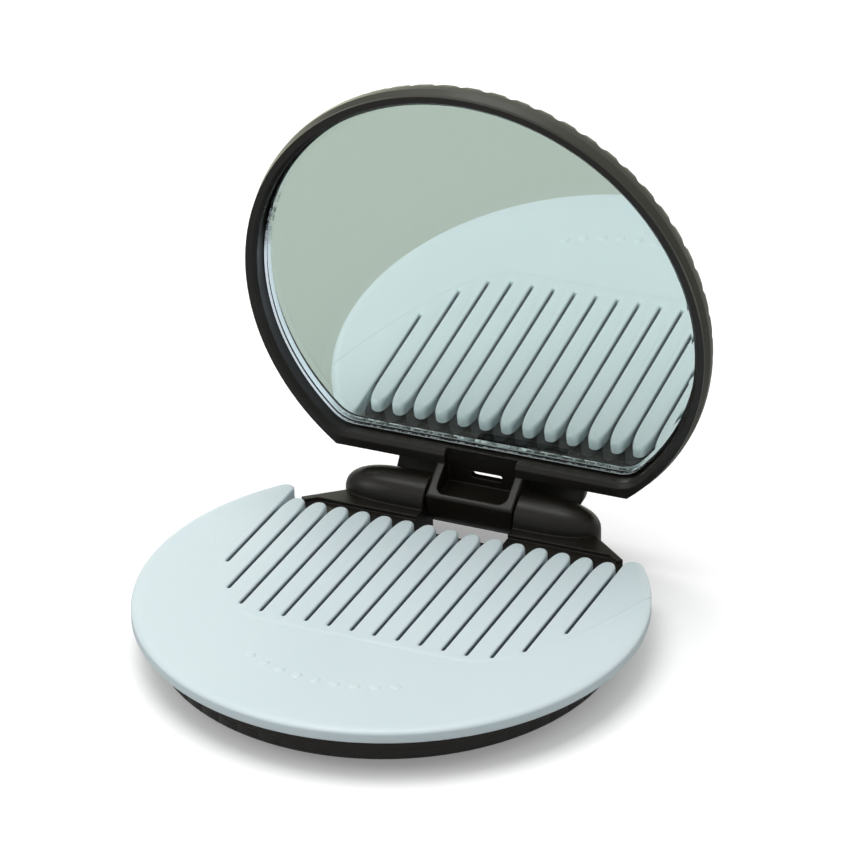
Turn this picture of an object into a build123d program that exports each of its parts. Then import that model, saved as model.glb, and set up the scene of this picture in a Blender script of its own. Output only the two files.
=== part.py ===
from build123d import *
import math
import os

# Round pocket mirror that folds like a shell, with a loose comb lying between its two halves.
# Millimetres, +Z up. The origin is on the rest plane under the middle of the base, the hinge
# is at the back, along X, and the lid stands open as it does in use.
# The lid's pieces are shaped closed, over the base, and then turned open about the hinge pin.

# Base
base_radius = 31.4          # mean radius of the fluted dish
base_round_width = 11.0     # how far in the dish's rounded lower edge reaches
base_height = 4.2           # rest plane to the underside of the deck
base_rim_height = 0.4       # upright stretch of the dish's edge
base_wall = 1.4
deck_thickness = 1.2
dish_set_back = 2.1         # hinge axis forward to the dish's straight rear
skirt_depth = 0.6
skirt_wall = 1.0

# Hinge seat on the deck; lengths in Y are measured from the hinge axis
hinge_inset = 0.7           # base_radius to the hinge axis
hinge_rise = 0.6            # deck up to the hinge axis
ledge_height = 0.6          # the hinge ledge stands this far above the deck
ledge_reach = 5.4
ledge_rim_width = 0.9       # the narrow rim that runs from the ledge along each slanted edge
ledge_rim_foot = (0.7, 0.6)
shoulder_x = 24.0           # the deck's rear shoulders stick out past the dish
shoulder_reach = 6.1
shoulder_front_y = 11.4
deck_rear_x = 15.9
deck_rear_margin = 0.6
rib_low_z = 1.6             # the hinge's ribs behind the dish reach down to here
rib_rear_margin = 0.3

# Hinge
pin_radius = 0.8
pin_running_gap = 0.05      # radial, in the knuckle
pin_inset = 1.5             # pin's ends to the lugs' outer ends
lug_radius = 3.6
lug_left_x = -19.7
lug_right_x = 18.3
lug_nose_length = 8.2       # the rounded outer end of each lug
knuckle_half_width = 6.5
knuckle_side_gap = 0.3
knuckle_wall = 1.2
knuckle_edge_round = 0.35
knuckle_reach = 2.9         # axis to the knuckle's flat faces
knuckle_front = 2.6         # axis to the foot of its sloping front, lid closed
knuckle_front_wall = 0.6
knuckle_rear_bevel = 2.0    # cut off the rear foot, which becomes the lower edge once open
knuckle_rear_slope = 2.2
knuckle_front_round = 0.5
knuckle_rear_round = 1.0
tray_corner = 1.2
notch_reach = 7.9           # hinge axis forward to the window's front edge
notch_wall = 1.2
lid_open = 84.0             # degrees from closed, as the lid stands at rest

# Lid
lid_face_rise = 1.65        # hinge axis up to the ring's face, lid closed
lid_overhang = 2.2          # beyond base_radius, all round
lid_edge = 0.5              # upright edge of the ring that shows below the shell
lid_step = 1.0              # edge of the ring to the part inside the shell
lid_back_taper = 1.1
lid_floor = 0.8
chord_reach = 5.1           # hinge axis forward to the ring's straight rear edge
bar_width = 2.0             # the ring along that edge
ring_width = 1.5
pocket_lip = 0.6
leaf_rise = 1.35            # ring's face to the leaf between the arms
leaf_thickness = 1.0
slot_length = 4.8
slot_width = 1.2
slot_x = 0.4
slot_set_back = 1.75        # straight edge to the slot

# Lid shell
shell_bulge = 0.38          # the shell's widest radius beyond the edge of the ring
shell_rim_inset = 0.1       # the shell's rim inside the edge of the ring
shell_lead = 1.1            # the rim slopes out over this height
shell_rim_height = 1.75
shell_round_width = 7.8
shell_round_height = 4.15
shell_crown = 0.4
shell_wall = 1.1
shell_gap = 0.1             # radial glue gap round the frame
shell_overhang = 1.7        # past the ring's straight edge
tail_half_width = 14.0      # the tab that reaches down behind the lugs
tail_reach = 5.2            # straight edge to the tab's end
tail_corner = 1.5
tail_notch_half = 3.8
tail_notch_depth = 1.3
tail_clearance = 0.8        # above the lugs, lid closed
shell_hollow_margin = 6.0
shell_hollow_depth = 1.0

# Flutes round both halves, and the pricked pattern on their outer faces
lid_flutes = 61
base_flutes = 58
lid_flute_depth = 0.26
lid_flute_radius = 1.8      # of the round groove between two of the lid's lobes
lid_flute_slope = 35.0      # degrees that the grooves lean in towards the back
base_flute_depth = 0.25
dimple_radius = 0.8
dimple_depth = 0.35
dimple_rings = [(0.0, 1), (8.0, 6), (16.0, 12)]

# Mirror
glass_thickness = 1.2
glass_recess = 2.0          # ring's face to the front of the glass
glass_gap = 0.4             # glass to the pocket, all round
glass_chord_gap = 0.3       # glass to the pocket, along the straight edge
glass_corner = 4.5
silver_thickness = 0.1
silver_inset = 0.3
tape_thickness = 0.25
tape_inset = 1.2

# Comb
comb_overhang = 3.5         # beyond base_radius, all round
comb_thickness = 1.8
comb_x = -0.85              # the loose comb lies a little left of the middle
comb_y = 2.7
comb_turn = -0.95           # degrees, since it lies very slightly askew
comb_edge_round = 0.5
tooth_count = 15
tooth_pitch = 3.32
tooth_shift = 0.6           # the row of teeth sits this far right of the plate's middle
slit_width = 0.5
tooth_tip_y = 19.6          # from the comb's centre
tooth_tip_width = 0.75      # how blunt each tooth's tip is, as a share of its width
tooth_taper = 5.5           # length over which each tooth narrows to its tip
root_y = -10.6
outer_roots = (-0.4, -6.8, -9.85)   # the slits nearest each horn are shorter
horn_tip_radius = 1.4
pip_count = 9
pip_radius = 0.75
pip_height = 0.15
pip_arc_radius = 24.0
pip_arc_step = 6.5          # degrees

# Worked out from the sizes above
deck_top = base_height + deck_thickness
ledge_top = deck_top + ledge_height
hinge_y = base_radius - hinge_inset
hinge_z = deck_top + hinge_rise
dish_rear_y = hinge_y - dish_set_back
notch_front_y = hinge_y - notch_reach
notch_half = knuckle_half_width + knuckle_side_gap
lid_radius = base_radius + lid_overhang
lid_plug_radius = lid_radius - lid_step
pocket_radius = lid_radius - ring_width
glass_radius = pocket_radius - glass_gap
shell_radius = lid_radius + shell_bulge
comb_radius = base_radius + comb_overhang
chord_y = hinge_y - chord_reach
pocket_chord_y = chord_y - bar_width
face_z = hinge_z + lid_face_rise
glass_z = face_z + glass_recess
silver_z = glass_z + glass_thickness
tape_z = silver_z + silver_thickness
pocket_z = tape_z + tape_thickness
floor_z = pocket_z + lid_floor
shell_z = face_z + lid_edge
hinge_axis = Axis((0, hinge_y, hinge_z), (1, 0, 0))
far = 100.0


def slab(x0, x1, y0, y1, z0, z1):
    """A box given by its two corners."""
    return Pos((x0 + x1) / 2, (y0 + y1) / 2, (z0 + z1) / 2) * Box(x1 - x0, y1 - y0, z1 - z0)


def turned(*edges):
    """A solid turned about Z from a closed outline of radius and height."""
    return revolve(Plane.XZ * make_face(list(edges)), Axis.Z)


def turned_points(*points):
    return revolve(Plane.XZ * make_face(Polyline(*points, close=True)), Axis.Z)


def dome(radius, z0, rim, round_width, round_height, crown, flip=False):
    """A round half shell's outer solid: upright rim, quarter-ellipse edge, slightly crowned face."""
    s = -1 if flip else 1
    flat = radius - round_width
    z1 = z0 + s * rim
    z2 = z1 + s * round_height
    arc = EllipticalCenterArc((flat, z1), round_width, round_height, 0, arc_size=90)
    if flip:
        arc = EllipticalCenterArc((flat, z1), round_width, round_height, 270, arc_size=90)
    edges = [Line((0, z0), (radius, z0)), Line((radius, z0), (radius, z1)), arc,
             Line((flat, z2), (0, z2 + s * crown)), Line((0, z2 + s * crown), (0, z0))]
    return turned(*edges)


def fluted(mean_radius, count, depth, z0, z1):
    """An upright prism whose outline is a ring of shallow round flutes."""
    crest = mean_radius + depth / 2
    valley = mean_radius - depth / 2
    step = 360 / count
    arcs = []
    for i in range(count):
        a = Vector(valley, 0).rotate(Axis.Z, i * step)
        b = Vector(crest, 0).rotate(Axis.Z, (i + 0.5) * step)
        c = Vector(valley, 0).rotate(Axis.Z, (i + 1) * step)
        arcs.append(ThreePointArc(a, b, c))
    return Pos(0, 0, z0) * extrude(make_face(arcs), z1 - z0)


def dimples(z):
    """Shallow round pricks on rings, to be cut from an outer face at height z."""
    cuts = []
    for ring_radius, count in dimple_rings:
        for place in PolarLocations(ring_radius, count):
            cuts.append(Pos(0, 0, z) * place * Cylinder(dimple_radius, 2 * dimple_depth))
    return cuts


def rear_cut_disc(radius, chord, corner):
    """A disc with one straight rear edge and rounded corners, as a flat face."""
    disc = Circle(radius) & Pos(0, chord - far / 2) * Rectangle(2 * far, far)
    ends = disc.vertices().sort_by(Axis.Y)[-2:]
    return fillet(ends, corner)


def opened(piece):
    return piece.rotate(hinge_axis, -lid_open)


def dish_cavity():
    """The hollow inside the base dish."""
    inner = dome(base_radius - base_wall, base_height, base_rim_height, base_round_width - base_wall,
                 base_height - base_rim_height - base_wall, 0, flip=True)
    return inner & slab(-far, far, -far, dish_rear_y - base_wall, 0, base_height)


def base_cover():
    """Round dish with a fluted edge, flat underneath, straight at the back with a gap for the knuckle."""
    outer = dome(base_radius + base_flute_depth, base_height, base_rim_height, base_round_width,
                 base_height - base_rim_height, 0, flip=True)
    outer &= fluted(base_radius, base_flutes, base_flute_depth, 0, base_height)
    outer &= slab(-far, far, -far, dish_rear_y, 0, base_height)
    dish = outer - dish_cavity()
    dish -= slab(-notch_half, notch_half, notch_front_y, far, 0, base_height)
    rib_slot = notch_half + notch_wall + shell_gap
    dish -= slab(-rib_slot, rib_slot, dish_rear_y - base_wall - shell_gap, far, base_wall, base_height)
    for cut in dimples(0):
        dish -= cut
    return dish


def deck_outline():
    """The dish's circle with two straight-sided shoulders at the back that carry the hinge."""
    front_x = (base_radius ** 2 - shoulder_front_y ** 2) ** 0.5
    shoulder_y = hinge_y - shoulder_reach
    rear_y = hinge_y + deck_rear_margin
    side = Polygon((front_x, shoulder_front_y), (shoulder_x, shoulder_y), (deck_rear_x, rear_y),
                   (-deck_rear_x, rear_y), (-shoulder_x, shoulder_y), (-front_x, shoulder_front_y),
                   align=None)
    return Circle(base_radius + base_flute_depth / 2) + side


def hinge_lug(outer_x):
    """A right-hand lug: bullet-shaped over the hinge axis, with upright sides below it."""
    nose_x = outer_x - lug_nose_length
    half = make_face([
        Line((notch_half, 0), (notch_half, lug_radius)),
        Line((notch_half, lug_radius), (nose_x, lug_radius)),
        Bezier((nose_x, lug_radius), (nose_x + 0.6 * lug_nose_length, lug_radius),
               (outer_x, 0.7 * lug_radius), (outer_x, 0)),
        Line((outer_x, 0), (notch_half, 0))])
    bullet = revolve(Pos(0, hinge_y, hinge_z) * half, hinge_axis) & slab(0, far, 0, far, hinge_z, far)
    lower = Pos(0, hinge_y, base_height)
    height = hinge_z - base_height
    upright = extrude(lower * half, height, dir=(0, 0, 1))
    upright += extrude(lower * mirror(half, Plane.XZ), height, dir=(0, 0, 1))
    return bullet + upright


def base_frame():
    """Deck with the comb's seat, raised hinge ledge, two lugs, and the window between them."""
    frame = Pos(0, 0, base_height) * extrude(deck_outline(), deck_thickness)
    shoulder_y = hinge_y - shoulder_reach
    rear_y = hinge_y + deck_rear_margin
    front_y = hinge_y - ledge_reach
    slant = (shoulder_y - rear_y) / (shoulder_x - deck_rear_x)
    rim_drop = ledge_rim_width * (1 + slant ** 2) ** 0.5
    inner_x = shoulder_x + (front_y + rim_drop - shoulder_y) / slant
    foot_x = shoulder_x - ledge_rim_foot[0]
    foot_y = shoulder_y - ledge_rim_foot[1]
    ledge = Polygon((inner_x, front_y), (foot_x, foot_y), (shoulder_x, shoulder_y), (deck_rear_x, rear_y),
                    (-deck_rear_x, rear_y), (-shoulder_x, shoulder_y), (-foot_x, foot_y), (-inner_x, front_y),
                    align=None)
    frame += Pos(0, 0, deck_top) * extrude(ledge, ledge_height)
    frame += hinge_lug(lug_right_x)
    frame += mirror(hinge_lug(-lug_left_x), Plane.YZ)
    well = slab(-notch_half - notch_wall, notch_half + notch_wall, notch_front_y - notch_wall, far,
                0, base_height)
    frame += well & dish_cavity()
    frame += slab(-notch_half - notch_wall, notch_half + notch_wall, dish_rear_y - base_wall - shell_gap,
                  hinge_y + rib_rear_margin, rib_low_z, base_height)
    skirt_radius = base_radius - base_wall - shell_gap
    skirt = Cylinder(skirt_radius, skirt_depth) - Cylinder(skirt_radius - skirt_wall, skirt_depth)
    skirt = Pos(0, 0, base_height - skirt_depth / 2) * skirt
    frame += skirt & slab(-far, far, -far, notch_front_y, 0, base_height)
    frame -= slab(-notch_half, notch_half, notch_front_y, far, 0, far)
    bore = Plane((0, hinge_y, hinge_z), z_dir=(1, 0, 0)) * Circle(pin_radius)
    frame -= extrude(bore, -far)
    frame -= extrude(bore, lug_right_x - pin_inset)
    return frame


def hinge_pin():
    """Plain steel pin, pressed into the lugs from the left."""
    left = lug_left_x + pin_inset
    length = lug_right_x - pin_inset - left
    return extrude(Plane((left, hinge_y, hinge_z), z_dir=(1, 0, 0)) * Circle(pin_radius), length)


def knuckle():
    """The lid's hinge block on its two arms, hollow between them, with a slotted leaf behind."""
    r = knuckle_reach
    leaf_z = face_z + leaf_rise
    leaf_top = leaf_z + leaf_thickness
    side_view = Plane((-knuckle_half_width, 0, 0), x_dir=(0, 1, 0), z_dir=(1, 0, 0))
    width = 2 * knuckle_half_width
    front_foot = (hinge_y - knuckle_front, hinge_z - r)
    rear_corners = [(hinge_y + r - knuckle_rear_bevel, hinge_z - r),
                    (hinge_y + r, hinge_z - r + knuckle_rear_bevel),
                    (hinge_y + r, leaf_top - knuckle_rear_slope), (hinge_y + r / 2, leaf_top)]
    arm = Polygon((chord_y - 0.5, face_z), (chord_y, face_z), front_foot, *rear_corners,
                  (chord_y - 0.5, leaf_top), align=None)
    for corner in rear_corners:
        arm = fillet(arm.vertices().sort_by_distance(corner)[0], knuckle_rear_round)
    arm = fillet(arm.vertices().sort_by_distance(front_foot)[0], knuckle_front_round)
    body = extrude(side_view * arm, width)
    inside = knuckle_half_width - knuckle_wall
    tray = Polygon((-inside, hinge_z - r + knuckle_front_wall), (inside, hinge_z - r + knuckle_front_wall),
                   (inside, leaf_z), (-inside, leaf_z), align=None)
    tray = fillet(tray.vertices().group_by(Axis.Y)[0], tray_corner)
    tray_back = Plane((0, hinge_y - r + knuckle_wall + 0.1, 0), x_dir=(1, 0, 0), z_dir=(0, -1, 0))
    body -= extrude(tray_back * tray, far)
    slot = extrude(SlotOverall(slot_length, slot_width), leaf_thickness + 2)
    body -= Pos(slot_x, chord_y + slot_set_back, leaf_z - 1) * slot
    sides = body.edges().filter_by_position(Axis.X, knuckle_half_width - 0.01, knuckle_half_width + 0.01)
    sides += body.edges().filter_by_position(Axis.X, -knuckle_half_width - 0.01, -knuckle_half_width + 0.01)
    return fillet(sides, knuckle_edge_round)


def lid_frame():
    """Ring and floor that hold the mirror, with the hinge arms on its straight edge."""
    ring = turned_points((0, face_z), (lid_radius, face_z), (lid_radius, shell_z),
                         (lid_plug_radius, shell_z), (lid_plug_radius, pocket_z),
                         (lid_plug_radius - lid_back_taper, floor_z), (0, floor_z))
    ring &= slab(-far, far, -far, chord_y, face_z, floor_z)
    pocket = extrude(rear_cut_disc(pocket_radius, pocket_chord_y, glass_corner), pocket_z - face_z)
    pocket = Pos(0, 0, face_z) * pocket
    ring -= pocket
    inside = knuckle_half_width - knuckle_wall
    mouth = ring.faces().sort_by(Axis.Z)[0].inner_wires()[0].edges()
    ring = chamfer(mouth, pocket_lip)
    ring += knuckle()
    ring -= slab(-inside, inside, pocket_chord_y - 1, chord_y + 1, face_z, face_z + leaf_rise)
    bore = Plane((-far, hinge_y, hinge_z), z_dir=(1, 0, 0)) * Circle(pin_radius + pin_running_gap)
    return ring - extrude(bore, 2 * far)


def lid_grooves():
    """Round grooves, all along the shell's rounded edge, that leave a row of soft lobes between them."""
    lean = math.radians(lid_flute_slope)
    out = (math.cos(lean), math.sin(lean))
    scale = math.hypot(shell_round_width * out[0], shell_round_height * out[1])
    x = shell_radius - shell_round_width + shell_round_width ** 2 * out[0] / scale
    z = shell_z + shell_rim_height + shell_round_height ** 2 * out[1] / scale
    stand_off = lid_flute_radius - lid_flute_depth
    groove = Cylinder(lid_flute_radius, 2 * shell_round_width)
    groove = Pos(x + stand_off * out[0], 0, z + stand_off * out[1]) * Rot(0, -lid_flute_slope, 0) * groove
    return [Rot(0, 0, (k + 0.5) * 360 / lid_flutes) * groove for k in range(lid_flutes)]


def lid_cover():
    """Lobed outer shell over the lid frame, with a hollow tail that reaches back over the hinge."""
    radius = shell_radius
    shell = dome(radius, shell_z, shell_rim_height, shell_round_width, shell_round_height, shell_crown)
    shell &= turned_points((0, shell_z), (lid_radius - shell_rim_inset, shell_z),
                           (radius, shell_z + shell_lead), (radius, shell_z + far), (0, shell_z + far))
    shell -= lid_grooves()
    tail_y = chord_y + tail_reach
    tab = slab(-tail_half_width, tail_half_width, 0, tail_y, 0, far)
    tab = fillet(tab.edges().filter_by(Axis.Z).group_by(Axis.Y)[-1], tail_corner)
    tab -= slab(-tail_notch_half, tail_notch_half, tail_y - tail_notch_depth, far, 0, far)
    shell &= slab(-far, far, -far, chord_y + shell_overhang, 0, far) + tab
    seat_chord = chord_y + shell_gap
    front = slab(-far, far, -far, seat_chord, 0, far)
    seat = turned_points((0, 0), (lid_plug_radius + shell_gap, 0),
                         (lid_plug_radius + shell_gap, pocket_z),
                         (lid_plug_radius - lid_back_taper + shell_gap, floor_z), (0, floor_z))
    shell -= seat & front
    hollow = Cylinder(shell_radius - shell_hollow_margin, shell_hollow_depth)
    hollow = Pos(0, 0, floor_z + shell_hollow_depth / 2) * hollow
    shell -= hollow & slab(-far, far, -far, pocket_chord_y, 0, far)
    tail = dome(radius - shell_wall, shell_z, shell_rim_height, shell_round_width - shell_wall,
                shell_round_height - shell_wall, 0)
    shell -= tail & slab(-far, far, seat_chord, far, 0, far)
    lug_top = hinge_z + lug_radius
    shell -= slab(-far, far, seat_chord, far, 0, lug_top + tail_clearance)
    for cut in dimples(shell_z + shell_rim_height + shell_round_height + shell_crown):
        shell -= cut
    return shell


def mirror_sheet(inset, z, thickness):
    """A flat sheet with the mirror's outline, drawn in by an inset."""
    chord = pocket_chord_y - glass_chord_gap - inset
    return Pos(0, 0, z) * extrude(rear_cut_disc(glass_radius - inset, chord, glass_corner), thickness)


def comb():
    """Round plate with a row of straight teeth between two horns, rounded along every upper edge."""
    half = (tooth_count * tooth_pitch + slit_width) / 2
    half_tooth = (tooth_pitch - slit_width) / 2
    shank_top = tooth_tip_y - tooth_taper
    cheek_y = tooth_tip_y - 0.25 * tooth_taper
    cheek_x = tooth_tip_width * half_tooth
    tooth_end = make_face([
        Line((-half_tooth, shank_top), (half_tooth, shank_top)),
        Bezier((half_tooth, shank_top), (half_tooth, cheek_y), (cheek_x, tooth_tip_y), (0, tooth_tip_y)),
        Bezier((0, tooth_tip_y), (-cheek_x, tooth_tip_y), (-half_tooth, cheek_y), (-half_tooth, shank_top))])
    plate = Circle(comb_radius) - Pos(tooth_shift, shank_top + far / 2) * Rectangle(2 * half, far)
    for i in range(tooth_count + 1):
        x = tooth_shift + (i - tooth_count / 2) * tooth_pitch
        from_side = min(i, tooth_count - i)
        root = outer_roots[from_side] if from_side < len(outer_roots) else root_y
        slit = Pos(0, slit_width / 2) * Circle(slit_width / 2)
        slit += Pos(0, (slit_width + far) / 2) * Rectangle(slit_width, far)
        plate -= Pos(x, root) * slit
    for i in range(tooth_count):
        plate += Pos(tooth_shift + (i - (tooth_count - 1) / 2) * tooth_pitch) * tooth_end
    for wall_x in (tooth_shift - half, tooth_shift + half):
        horn = (wall_x, (comb_radius ** 2 - wall_x ** 2) ** 0.5)
        plate = fillet(plate.vertices().sort_by_distance(horn)[0], horn_tip_radius)
    body = extrude(plate, comb_thickness)
    top = body.faces().sort_by(Axis.Z)[-1]
    body = fillet(top.edges(), comb_edge_round)
    for i in range(pip_count):
        angle = 270 + (i - (pip_count - 1) / 2) * pip_arc_step
        place = Vector(pip_arc_radius, 0).rotate(Axis.Z, angle)
        body += Pos(place.X, place.Y, comb_thickness + pip_height / 2 - 0.1) * Cylinder(
            pip_radius, pip_height + 0.2)
    return Pos(comb_x, comb_y, deck_top) * Rot(0, 0, comb_turn) * body


nodes = {
    "base_cover": base_cover(),
    "base_frame": base_frame(),
    "hinge_pin": hinge_pin(),
    "lid_frame": opened(lid_frame()),
    "lid_cover": opened(lid_cover()),
    "mirror_glass": opened(mirror_sheet(0, glass_z, glass_thickness)),
    "mirror_silvering": opened(mirror_sheet(silver_inset, silver_z, silver_thickness)),
    "mirror_tape": opened(mirror_sheet(tape_inset, tape_z, pocket_z - tape_z)),
    "comb": comb(),
}

os.makedirs("parts", exist_ok=True)
for name, solid in nodes.items():
    export_step(solid, f"parts/{name}.step")
    print(name, round(solid.volume, 2), len(solid.solids()))
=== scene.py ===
import math

import bpy
from mathutils import Matrix, Vector
from mathutils.geometry import delaunay_2d_cdt


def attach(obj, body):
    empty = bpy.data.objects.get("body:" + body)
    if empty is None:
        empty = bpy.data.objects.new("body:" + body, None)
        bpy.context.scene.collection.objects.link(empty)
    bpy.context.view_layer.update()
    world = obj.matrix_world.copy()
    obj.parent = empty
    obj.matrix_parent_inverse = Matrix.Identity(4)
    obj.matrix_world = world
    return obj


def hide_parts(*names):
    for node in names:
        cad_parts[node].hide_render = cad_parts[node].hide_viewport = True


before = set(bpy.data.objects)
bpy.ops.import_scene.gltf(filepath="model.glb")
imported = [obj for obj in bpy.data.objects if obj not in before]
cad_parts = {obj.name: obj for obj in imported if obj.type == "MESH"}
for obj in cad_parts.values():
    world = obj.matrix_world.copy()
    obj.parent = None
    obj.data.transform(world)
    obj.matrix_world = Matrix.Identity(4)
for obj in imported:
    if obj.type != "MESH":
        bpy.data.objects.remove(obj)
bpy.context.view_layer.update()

mm = 0.001

# The viewpoint. The compact is seen from the right and a little above, at arm's length with a
# long lens, so its far edge looks almost as wide as its near one.
eye = Vector((221.89, -497.20, 327.60)) * mm
sight = Vector((-0.3519, 0.8074, -0.4736)).normalized()
upright = Vector((-0.1741, 0.4407, 0.8806))
across = sight.cross(upright).normalized()
upright = across.cross(sight)
camera = bpy.data.objects.new("camera", bpy.data.cameras.new("camera"))
camera.data.lens = 201.9
camera.data.sensor_width = 36.0
camera.data.clip_start = 0.01
camera.matrix_world = Matrix((
    (across.x, upright.x, -sight.x, eye.x),
    (across.y, upright.y, -sight.y, eye.y),
    (across.z, upright.z, -sight.z, eye.z),
    (0, 0, 0, 1)))
bpy.context.scene.collection.objects.link(camera)
bpy.context.scene.camera = camera
bpy.context.scene.view_settings.view_transform = "Standard"


# Base frame: one moulding of near-black brown plastic with the flat deck, the hinge ledge and
# the two lugs. Its gloss is worn dull in patches and its edges are scuffed a little lighter.
class Wire:
    """A socket in a material's node tree. Sums on it add Math nodes."""

    def __init__(self, tree, socket=None):
        self.tree = tree
        self.socket = socket

    def node(self, kind, settings=None, sockets=None, out=0):
        """Adds any node: its settings first, then its inputs, and returns one of its outputs."""
        made = self.tree.nodes.new("ShaderNode" + kind)
        for name, value in (settings or {}).items():
            setattr(made, name, value)
        for name, value in (sockets or {}).items():
            if isinstance(value, Wire):
                self.tree.links.new(value.socket, made.inputs[name])
            else:
                made.inputs[name].default_value = value
        return Wire(self.tree, made.outputs[out])

    def maths(self, operation, *terms):
        return self.node("Math", {"operation": operation}, dict(enumerate(terms)))

    def __add__(self, other):
        return self.maths("ADD", self, other)

    def __abs__(self):
        return self.maths("ABSOLUTE", self)

    def __sub__(self, other):
        return self.maths("SUBTRACT", self, other)

    def __rsub__(self, other):
        return self.maths("SUBTRACT", other, self)

    def __mul__(self, other):
        return self.maths("MULTIPLY", self, other)

    __radd__ = __add__
    __rmul__ = __mul__

    def along(self, axis):
        """One coordinate of a vector, by its letter."""
        return self.node("SeparateXYZ", {}, {"Vector": self}, axis)

    def ramp(self, low, high):
        """0 below low, 1 above high, smooth between."""
        return self.node("MapRange", {"interpolation_type": "SMOOTHSTEP"},
                         {"Value": self, "From Min": low, "From Max": high})

    def blend(self, first, second):
        """From colour first to colour second as this goes from 0 to 1."""
        factor, colour_a, colour_b, colour_out = "Factor", 6, 7, 2
        return self.node("Mix", {"data_type": "RGBA"},
                         {factor: self, colour_a: first, colour_b: second}, colour_out)


def new_material(name):
    """A material with no nodes yet, and a Wire to build on."""
    material = bpy.data.materials.new(name)
    material.use_nodes = True
    material.node_tree.nodes.clear()
    return material, Wire(material.node_tree)


def finish_with(wire, shader, kind="OutputMaterial"):
    output = wire.tree.nodes.new("ShaderNode" + kind)
    wire.tree.links.new(shader.socket, output.inputs["Surface"])


def moulded_plastic(name, colour, chips_and_painted_glint, rough, edge, grain, painted_sheen=None):
    """Glossy moulded plastic with dull patches, fine hairline scratches and scuffed edges. A
    painted sheen, if given, turns the colour pale where the surface turns away, strongest on the
    left."""
    material, wire = new_material(name)
    place = wire.node("TexCoord", out="Object")
    patches = wire.node("TexNoise", {}, {
        "Vector": place, "Scale": 120.0, "Detail": 4.0, "Roughness": 0.6})
    specks = wire.node("TexNoise", {}, {
        "Vector": place, "Scale": 1400.0, "Detail": 2.0, "Roughness": 0.5})
    stretched = wire.node("Mapping", {}, {
        "Vector": place, "Rotation": (0.3, 0.2, 0.7), "Scale": (1.0, 30.0, 1.0)})
    hairs = wire.node("TexNoise", {}, {"Vector": stretched, "Scale": 260.0, "Detail": 3.0})
    hairs = hairs.ramp(0.62, 0.72)
    rounded = wire.node("Bevel", {"samples": 6}, {"Radius": edge})
    facing = wire.node("NewGeometry", out="Normal")
    match = wire.node("VectorMath", {"operation": "DOT_PRODUCT"}, {0: rounded, 1: facing}, "Value")
    scuff = (1.0 - match).ramp(0.02, 0.28) * patches.ramp(0.42, 0.62)
    relief = wire.node("Bump", {}, {
        "Strength": 0.12, "Distance": grain, "Height": specks, "Normal": rounded})
    skin = (scuff * 0.7 + hairs * 0.08).blend((*colour, 1.0), (*chips_and_painted_glint, 1.0))
    if painted_sheen:
        # Painted sheen: the colour turns pale at grazing angles, most on the part's left side.
        grazed = wire.node("LayerWeight", {}, {"Blend": 0.5}, "Facing").ramp(0.45, 1.0)
        to_left = 1.0 - place.along("X").ramp(-22 * mm, 6 * mm) * 0.8
        skin = (grazed * to_left).blend(skin, (*painted_sheen, 1.0))
    finish_with(wire, wire.node("BsdfPrincipled", {}, {
        "Base Color": skin,
        "Roughness": patches.ramp(0.3, 0.75) * 0.14 + hairs * 0.1 + scuff * 0.2 + rough,
        "Specular IOR Level": 0.35,
        "Normal": relief}))
    return material


def paint(node, material):
    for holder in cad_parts[node].material_slots:
        holder.material = material


frame_plastic = moulded_plastic("frame_plastic", (0.0095, 0.0078, 0.0055), (0.075, 0.068, 0.052),
                                rough=0.28, edge=0.25 * mm, grain=0.01 * mm)
paint("base_frame", frame_plastic)

# Base cover: the fluted dish clipped under the deck, of the same plastic, a little less polished.
base_shell = moulded_plastic("base_shell", (0.009, 0.0075, 0.006), (0.08, 0.07, 0.055),
                             rough=0.3, edge=0.15 * mm, grain=0.01 * mm)
paint("base_cover", base_shell)

# Hinge pin: drawn steel wire, pushed through both lugs and the knuckle between them.
pin_steel, wire = new_material("pin_steel")
drawn = wire.node("Mapping", {}, {
    "Vector": wire.node("TexCoord", out="Object"), "Scale": (1.0, 40.0, 40.0)})
lines = wire.node("TexNoise", {}, {"Vector": drawn, "Scale": 90.0, "Detail": 3.0})
finish_with(wire, wire.node("BsdfPrincipled", {}, {
    "Base Color": lines.blend((0.42, 0.42, 0.41, 1.0), (0.62, 0.62, 0.6, 1.0)),
    "Metallic": 1.0,
    "Roughness": lines * 0.2 + 0.22}))
paint("hinge_pin", pin_steel)

# Lid frame: the ring that holds the glass, moulded with the arms and the knuckle.
paint("lid_frame", frame_plastic)

# Lid cover: the lobed shell on the lid's back, a lighter olive brown with a satin skin and a
# painted sheen where it turns away, mostly on the left.
lid_shell = moulded_plastic("lid_shell", (0.045, 0.045, 0.034), (0.12, 0.115, 0.09),
                            rough=0.44, edge=0.15 * mm, grain=0.012 * mm, painted_sheen=(0.5, 0.5, 0.38))
paint("lid_cover", lid_shell)

# Mirror: float glass whose rear face is silvered, stuck in the lid with foam tape. Its front edge
# is chipped in places and its side is ground dull. On the left the whole bevel is drawn frosted
# too,
# and there side and bevel glow faintly: a painted glint for the light that the real edge catches.
hinge = Vector((0.0, 30.7, 6.0))
lean = math.radians(84.0)
sheet_radius = 31.7
sheet_rear = 23.3
sheet_corner = 4.5
bevel_width = 0.5
glass_front = 3.65
bevel_top = 3.85
glass_back = 4.85
silver_inset = 0.3
silver_front = 4.82
silver_back = 4.95


def in_lid(x, y, w):
    """A point of the closed lid, w above the hinge axis, where it is with the lid open."""
    y -= hinge.y
    return (x,
            hinge.y + y * math.cos(lean) + w * math.sin(lean),
            hinge.z - y * math.sin(lean) + w * math.cos(lean))


def arc_points(centre, radii, start, end, count):
    """Points along an ellipse from one angle to another, in degrees."""
    turns = [math.radians(start + (end - start) * i / (count - 1)) for i in range(count)]
    return [Vector((centre[0] + radii[0] * math.cos(t), centre[1] + radii[1] * math.sin(t)))
            for t in turns]


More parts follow.
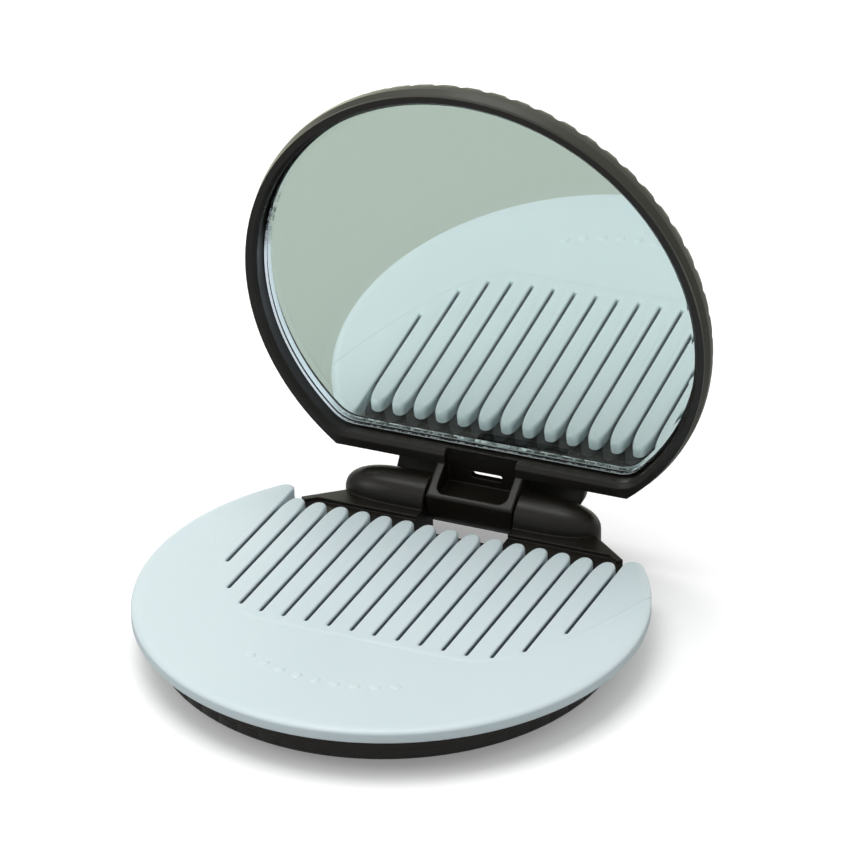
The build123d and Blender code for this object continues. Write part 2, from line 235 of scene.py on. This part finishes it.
def sheet_outline(inset):
    """The mirror's outline: a disc with a straight rear edge and rounded corners."""
    outer = sheet_radius - inset
    corner = sheet_corner
    y = sheet_rear - inset - corner
    x = math.sqrt((outer - corner) ** 2 - y ** 2)
    turn = math.degrees(math.atan2(y, x))
    points = arc_points((0, 0), (outer, outer), 180 - turn, 360 + turn, 240)
    points += arc_points((x, y), (corner, corner), turn, 90, 16)[1:]
    rear = points[-1]
    points += [Vector((rear.x * (1 - k / 30), rear.y)) for k in range(1, 60)]
    points += arc_points((-x, y), (corner, corner), 90, 180 - turn, 16)[:-1]
    return points


def walls(count, around):
    """The faces between rings of points that follow one another."""
    return [(k * around + i, k * around + j, (k + 1) * around + j, (k + 1) * around + i)
            for k in range(count - 1) for i in range(around) for j in [(i + 1) % around]]


def mesh_piece(name, vertices, faces, material, body, node, sharp=35):
    """A smooth-shaded piece in millimetres that stands for one CAD node."""
    mesh = bpy.data.meshes.new(name)
    mesh.from_pydata([Vector(v) * mm for v in vertices], [], faces)
    mesh.validate()
    mesh.shade_smooth()
    mesh.set_sharp_from_angle(angle=math.radians(sharp))
    mesh.materials.append(material)
    piece = bpy.data.objects.new(name, mesh)
    bpy.context.scene.collection.objects.link(piece)
    weighted = piece.modifiers.new("even_normals", "WEIGHTED_NORMAL")
    weighted.keep_sharp = True
    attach(piece, body)
    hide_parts(node)


def sheet(name, levels, material, node):
    """A flat sheet in the lid, built up from outlines given by their inset and height."""
    rings = [[in_lid(p.x, p.y, w) for p in sheet_outline(inset)] for inset, w in levels]
    around = len(rings[0])
    vertices = [v for ring in rings for v in ring]
    front = tuple(reversed(range(around)))
    back = tuple(range(len(vertices) - around, len(vertices)))
    faces = [front, back] + walls(len(rings), around)
    mesh_piece(name, vertices, faces, material, "lid", node, 20)


black = (0.0, 0.0, 0.0, 1.0)
clear_glass, wire = new_material("clear_glass")
place = wire.node("TexCoord", out="Object")
outward = wire.node("VectorMath", {"operation": "DOT_PRODUCT"}, {
    0: wire.node("NewGeometry", out="True Normal"),
    1: (0.0, -math.sin(lean), -math.cos(lean))}, "Value")
side = 1.0 - abs(outward).ramp(0.1, 0.4)
bevel = (1.0 - abs(outward).ramp(0.945, 0.985)) * (1.0 - side)
rise = place.along("Z")
left = 1.0 - place.along("X").ramp(-25 * mm, -18 * mm)
low_left = left * (1.0 - rise.ramp(45 * mm, 51 * mm))
worn_edge = low_left.maths("MAXIMUM", low_left, 1.0 - rise.ramp(14.5 * mm, 18 * mm))
# From here on, left marks the painted glint on the left edge, below 39 to 45 mm height.
left *= 1.0 - rise.ramp(39 * mm, 45 * mm)
chips = wire.node("TexNoise", {}, {
    "Vector": place, "Scale": 1500.0, "Detail": 3.0, "Roughness": 0.7}).ramp(0.46, 0.6)
refracting = wire.node("BsdfPrincipled", {}, {
    "Base Color": (0.93, 0.98, 0.96, 1.0), "Roughness": 0.0, "IOR": 1.5,
    "Transmission Weight": 1.0})
clear = wire.node("MixShader", {}, {
    0: wire.node("LightPath", out="Is Shadow Ray"),
    1: refracting,
    2: wire.node("BsdfTransparent")})
ground_and_glow = wire.node("BsdfPrincipled", {}, {
    "Base Color": (0.75, 0.82, 0.84, 1.0), "Roughness": 0.6,
    "Emission Color": left.blend(black, (0.42, 0.47, 0.53, 1.0)), "Emission Strength": 1.0})
# Frosted bevel: real chips by the low left and the straight edge, plus the whole left bevel as
# painted glint.
chips_and_painted_glint = chips.maths("MAXIMUM", chips * worn_edge, left)
finish_with(wire, wire.node("MixShader", {}, {0: side + bevel * chips_and_painted_glint, 1: clear, 2: ground_and_glow}))
sheet("glass_sheet", [(bevel_width, glass_front), (0.0, bevel_top), (0.0, glass_back)],
      clear_glass, "mirror_glass")

# Silvering: the coat on the back of the glass. Its shading leans by about 0.6 degrees, with no
# change of shape, which brings the mirrored comb nearer to where the photograph has it.
silver, wire = new_material("silver")
tipped = wire.node("VectorMath", {"operation": "ADD"}, {
    0: wire.node("NewGeometry", out="Normal"), 1: (-0.0105, 0.0, -0.004)})
finish_with(wire, wire.node("BsdfPrincipled", {}, {
    "Base Color": (0.9, 0.93, 0.91, 1.0), "Metallic": 1.0, "Roughness": 0.01,
    "Normal": wire.node("VectorMath", {"operation": "NORMALIZE"}, {0: tipped})}))
sheet("silver_sheet", [(silver_inset, silver_front), (silver_inset, silver_back)],
      silver, "mirror_silvering")

# Tape: the pad of pale foam with glue on both faces that holds the mirror in the lid.
foam, wire = new_material("foam")
cells = wire.node("TexNoise", {}, {"Vector": wire.node("TexCoord", out="Object"), "Scale": 3000.0})
finish_with(wire, wire.node("BsdfPrincipled", {}, {
    "Base Color": cells.blend((0.7, 0.7, 0.66, 1.0), (0.82, 0.82, 0.79, 1.0)),
    "Roughness": 0.9}))
paint("mirror_tape", foam)

# Comb: one flat moulding of bluish white plastic, softly rounded along every upper edge. Each tooth
# is a flat bar that tapers to a round tip, and the slits between run out into the plate.
comb_centre = Vector((-0.85, 2.7))
comb_turn = -0.95
comb_base = 5.4
comb_thick = 1.8
comb_radius = 34.89
foot_round = 0.15
rim_inset = 1.4
rim_depth = 0.6
tooth_count = 15
tooth_pitch = 3.32
tooth_shift = 0.6
tooth_half = 1.41
tooth_crown = 0.27
tooth_depth = 0.25
tip_depth = 1.2
tip_draw = 2.4
tip_y = 19.6
taper = 5.5
slit_half = tooth_pitch / 2 - tooth_half
slit_runout = 0.9
horn_wall = 25.15
horn_tip = 1.4
horn_draw = 0.8
horn_steps = 13
slit_roots = [-0.4, -6.8, -9.85] + [-10.6] * 10 + [-9.85, -6.8, -0.4]
pip_count = 9
pip_radius = 0.75
pip_height = 0.15
pip_arc = 24.0
pip_step = 6.5


def horn_arc(side, inset):
    """One horn's rounded end, from the outer edge over the tip to the inner wall, and the angle
    at which it starts."""
    outer = comb_radius - rim_inset * inset
    tip = horn_tip - horn_draw * inset
    x = horn_wall + side * tooth_shift + tooth_crown * inset + tip
    y = math.sqrt((outer - tip) ** 2 - x ** 2)
    turn = math.degrees(math.atan2(y, x))
    arc = arc_points((x, y), (tip, tip), turn, 180, horn_steps + 1)
    return [(side * p.x, p.y, rim_depth + (tooth_depth - rim_depth) * i / horn_steps)
            for i, p in enumerate(arc)], turn


def tooth_side(crown, count):
    """One side of a tooth's end, from the start of its taper to the tip, as x, y and the depth
    of the rounding."""
    half = tooth_half - crown
    top = tip_y - tip_draw * crown
    corners = (Vector((half, top - taper)), Vector((half, top - 0.25 * taper)),
               Vector((0.75 * half, top)), Vector((0, top)))
    points = []
    for k in range(count):
        t = k / (count - 1)
        shares = ((1 - t) ** 3, 3 * t * (1 - t) ** 2, 3 * t ** 2 * (1 - t), t ** 3)
        spot = sum((share * corner for share, corner in zip(shares, corners)), Vector((0, 0)))
        points.append((*spot, tooth_depth + tip_depth * t ** 2))
    return points


def comb_outline(inset):
    """The comb's outline drawn in from its edge, with the depth of its rounding at each point."""
    right_horn, right_turn = horn_arc(1, inset)
    left_horn, left_turn = horn_arc(-1, inset)
    outer = comb_radius - rim_inset * inset
    rim = arc_points((0, 0), (outer, outer), 180 - left_turn, 360 + right_turn, 320)
    points = [(p.x, p.y, rim_depth) for p in rim[1:-1]] + right_horn
    crown = tooth_crown * inset
    for i in range(tooth_count, -1, -1):
        x = tooth_shift + (i - tooth_count / 2) * tooth_pitch
        slit_end = arc_points((x, slit_roots[i] + slit_half),
                              (slit_half + crown, slit_half + slit_runout * inset), 360, 180, 15)
        points += [(p.x, p.y, tooth_depth) for p in slit_end]
        if i:
            x -= tooth_pitch / 2
            side = tooth_side(crown, 18)
            points += [(x + off, y, depth) for off, y, depth in side[:-1]]
            points += [(x - off, y, depth) for off, y, depth in reversed(side)]
    return points + left_horn[::-1]


rings = []
for draw_in, height in ((foot_round, 0.0), (0.0, foot_round)):
    shrink = 1 - draw_in / comb_radius
    rings.append([(x * shrink, y * shrink, height) for x, y, depth in comb_outline(0.0)])
for degrees in range(0, 91, 10):
    turn = math.radians(degrees)
    rings.append([(x, y, comb_thick + depth * (math.sin(turn) - 1))
                  for x, y, depth in comb_outline(1 - math.cos(turn))])
askew = Matrix.Rotation(math.radians(comb_turn), 2)
vertices = [(*(comb_centre + askew @ Vector((x, y))), comb_base + z)
            for ring in rings for x, y, z in ring]
around = len(rings[0])
faces = walls(len(rings), around)
faces.append(tuple(reversed(range(around))))

# The comb's upper face is filled between its outline and the pips, which are low domes.
top_start = (len(rings) - 1) * around
flat = [Vector(v[:2]) for v in vertices[top_start:]]
raised = [0.0] * around
loops = [(i, (i + 1) % around) for i in range(around)]
for k in range(pip_count):
    turn = math.radians(270 + (k - (pip_count - 1) / 2) * pip_step)
    middle = comb_centre + askew @ Vector((pip_arc * math.cos(turn), pip_arc * math.sin(turn)))
    for part in (1.12, 1.0, 0.85, 0.65, 0.4, 0.15):
        ring = arc_points(middle, (pip_radius * part, pip_radius * part), 0, 350, 36)
        flat += ring
        raised += [pip_height * math.sqrt(max(0.0, 1 - part ** 2))] * len(ring)
spots, _, filling, sources, _, _ = delaunay_2d_cdt(flat, loops, [tuple(range(around))], 1, 1e-7)
new_of = {}
for index, (source, *_) in enumerate(sources):
    if source < around:
        new_of[index] = top_start + source
    else:
        new_of[index] = len(vertices)
        vertices.append((*spots[index], comb_base + comb_thick + raised[source]))
faces += [tuple(new_of[i] for i in face) for face in filling]

# The comb's plastic is a little cloudy and steps down past the slits' ends. Inside the slits its
# colour is darkened to navy by ambient occlusion, a painted shade. The faces turned to the mirror
# glow faintly, a painted light for the light that the mirror throws back on them.
comb_plastic, wire = new_material("comb_plastic")
place = wire.node("TexCoord", out="Object")
cloud = wire.node("TexNoise", {}, {"Vector": place, "Scale": 60.0, "Detail": 3.0})
grain = wire.node("TexNoise", {}, {"Vector": place, "Scale": 1800.0, "Detail": 2.0})
# Painted shade: ambient occlusion turns the colour navy deep in the slits, though not at the tips.
painted_slit_shade = 1.0 - wire.node("AmbientOcclusion", {"samples": 6},
                       {"Distance": 1.5 * mm}, "AO").ramp(0.08, 0.5)
painted_slit_shade *= 1.0 - place.along("Y").ramp(17.5 * mm, 21 * mm)
past_row = abs(place.along("X") + 0.25 * mm) - 14 * mm
past_row = past_row.maths("MAXIMUM", past_row, 0.0)
step_bend = 77.0
step_line = place.along("Y") - past_row * past_row * step_bend
step = step_line.ramp(-10.2 * mm, -9.2 * mm)
to_mirror = wire.node("NewGeometry", out="Normal").along("Y").ramp(0.15, 0.8)
white = cloud.blend((0.63, 0.735, 0.765, 1.0), (0.67, 0.765, 0.79, 1.0))
finish_with(wire, wire.node("BsdfPrincipled", {}, {
    "Base Color": painted_slit_shade.blend(white, (0.035, 0.05, 0.11, 1.0)),
    "Roughness": cloud * 0.1 + 0.34,
    "Emission Color": to_mirror.blend(black, (0.2, 0.235, 0.245, 1.0)),
    "Emission Strength": 1.0,
    "Subsurface Weight": 0.25,
    "Subsurface Radius": (0.0012, 0.0014, 0.0016),
    "Subsurface Scale": 1.0,
    "Normal": wire.node("Bump", {}, {
        "Strength": 0.8, "Distance": 0.16 * mm, "Height": step + grain * 0.01})}))
mesh_piece("comb_plate", vertices, faces, comb_plastic, "comb", "comb")

# Table, lamps and sky. The table is a pale grey green that shows in the mirror. Around the compact
# the camera sees it white, with the compact's own shadow on it, and the backdrop plain white.
table_mesh = bpy.data.meshes.new("table")
reach = 3.0
table_mesh.from_pydata(
    [(-reach, -reach, 0), (reach, -reach, 0), (reach, reach, 0), (-reach, reach, 0)],
    [], [(0, 1, 2, 3)])
table = bpy.data.objects.new("table", table_mesh)
bpy.context.scene.collection.objects.link(table)
table_top, wire = new_material("table_top")
seen = wire.node("LightPath", out="Is Camera Ray")
mirrored = wire.node("LightPath", out="Is Transmission Ray")
far_off = wire.node("TexCoord", out="Object").along("Y").ramp(0.1, 0.2)
gleam = wire.node("LightPath", out="Is Glossy Ray") * far_off
unseen_top = mirrored.blend((0.5, 0.5, 0.5, 1.0), (0.465, 0.52, 0.475, 1.0))
unseen_glow = gleam.blend(black, (1.0, 1.05, 0.9, 1.0))
finish_with(wire, wire.node("BsdfPrincipled", {}, {
    "Base Color": seen.blend(unseen_top, (0.95, 0.95, 0.95, 1.0)),
    "Roughness": 0.9,
    "Specular IOR Level": 0.0,
    "Emission Color": seen.blend(unseen_glow, (0.2, 0.2, 0.2, 1.0)),
    "Emission Strength": 1.0}))
table_mesh.materials.append(table_top)

world = bpy.data.worlds.new("studio")
world.use_nodes = True
world.node_tree.nodes.clear()
wire = Wire(world.node_tree)
direction = wire.node("TexCoord", out="Generated")
soft = direction.along("Z").ramp(-0.1, 0.9).blend((0.34, 0.35, 0.35, 1.0), (0.62, 0.62, 0.62, 1.0))
behind = direction.along("Y").ramp(0.4, 0.8) * wire.node("LightPath", out="Is Glossy Ray")
soft = behind.blend(soft, (1.15, 1.2, 1.05, 1.0))
seen = wire.node("LightPath", out="Is Camera Ray")
sky = wire.node("Background", {}, {
    "Color": seen.blend(soft, (1.0, 1.0, 1.0, 1.0)), "Strength": 1.0})
finish_with(wire, sky, "OutputWorld")
bpy.context.scene.world = world


def lamp(name, place, aim, size, power):
    """A square soft box that points at the compact."""
    data = bpy.data.lights.new(name, "AREA")
    data.size = size
    data.energy = power
    box = bpy.data.objects.new(name, data)
    box.location = place
    box.rotation_euler = (Vector(aim) - Vector(place)).to_track_quat("-Z", "Y").to_euler()
    bpy.context.scene.collection.objects.link(box)


lamp("overhead", (-0.15, 0.05, 0.75), (0, 0, 0.01), 0.5, 3.2)
lamp("front_left", (-0.6, -0.5, 0.45), (0, 0, 0.02), 0.35, 0.8)
